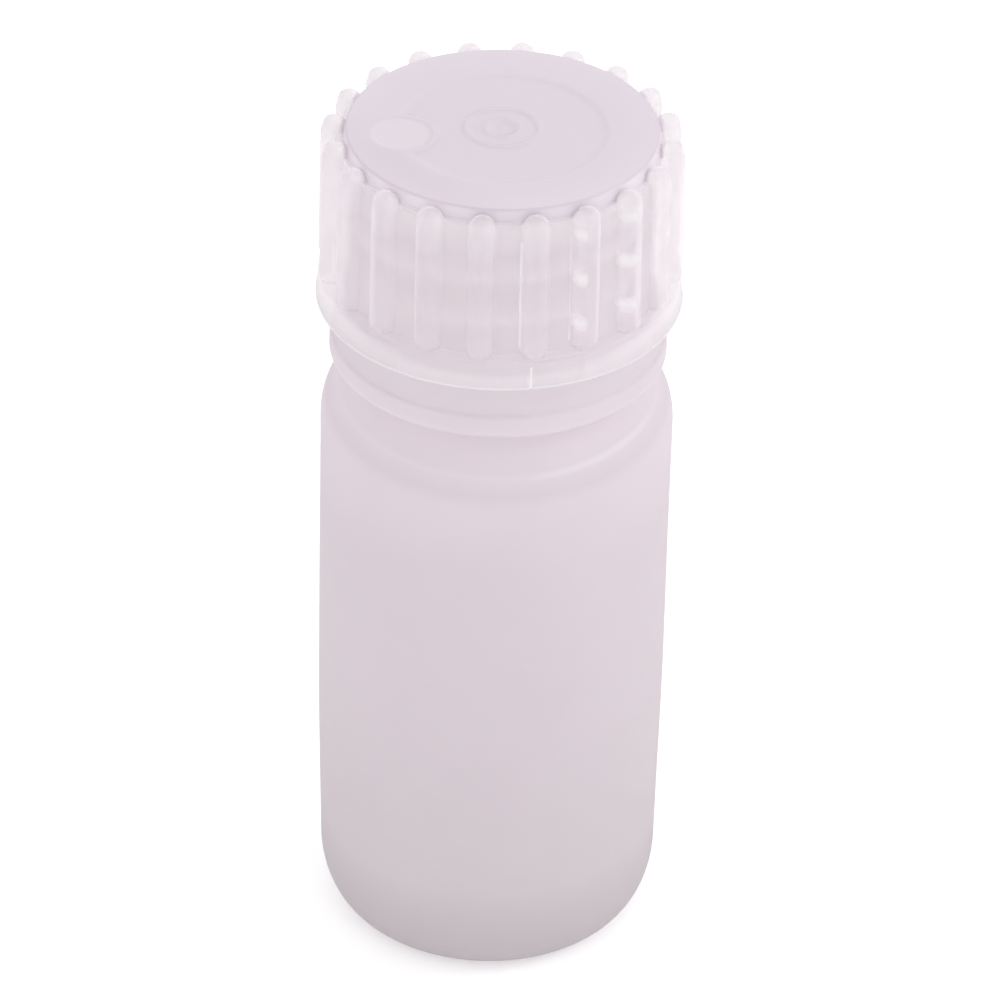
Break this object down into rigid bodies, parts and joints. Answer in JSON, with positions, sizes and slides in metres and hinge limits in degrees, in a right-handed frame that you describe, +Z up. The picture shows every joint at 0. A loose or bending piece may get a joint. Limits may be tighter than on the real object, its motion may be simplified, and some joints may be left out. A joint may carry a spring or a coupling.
{
  "type": "reagent bottle",
  "caption": "Small translucent plastic reagent bottle with a rounded shoulder, a neck bead and collar and a ribbed screw cap over a loose sealing disc.",
  "frame": {"origin": "centre of the base, on the plane of the heel ring that the bottle stands on", "axes": "+Z up along the bottle's axis, through the cap; -Y towards the viewer of the front, +X to the viewer's right"},
  "size_m": [0.0234, 0.0234, 0.0585],
  "materials": {
    "body_hdpe": "milky translucent natural high-density polyethylene, satin moulded skin",
    "liner_foam": "white polyethylene foam with smooth faces",
    "cap_polypropylene": "natural polypropylene, clearer than the body, soft gloss"
  },
  "bodies": {
    "bottle": {"bottle_body": "body_hdpe"},
    "liner": {"cap_liner": "liner_foam"},
    "cap": {"screw_cap": "cap_polypropylene"}
  },
  "joints": [
    {"name": "cap_lift", "type": "slide", "parent": "bottle", "child": "liner", "axis": [0, 0, 1], "range_m": [0, 0.0112]},
    {"name": "cap_turn", "type": "hinge", "parent": "liner", "child": "cap", "pos_m": [0, 0, 0.0573], "axis": [0, 0, 1], "range_deg": [0, 1260]}
  ],
  "couplings": [
    {"joint": "cap_lift", "follows": "cap_turn", "m_per_rad": 0.00050532}
  ]
}
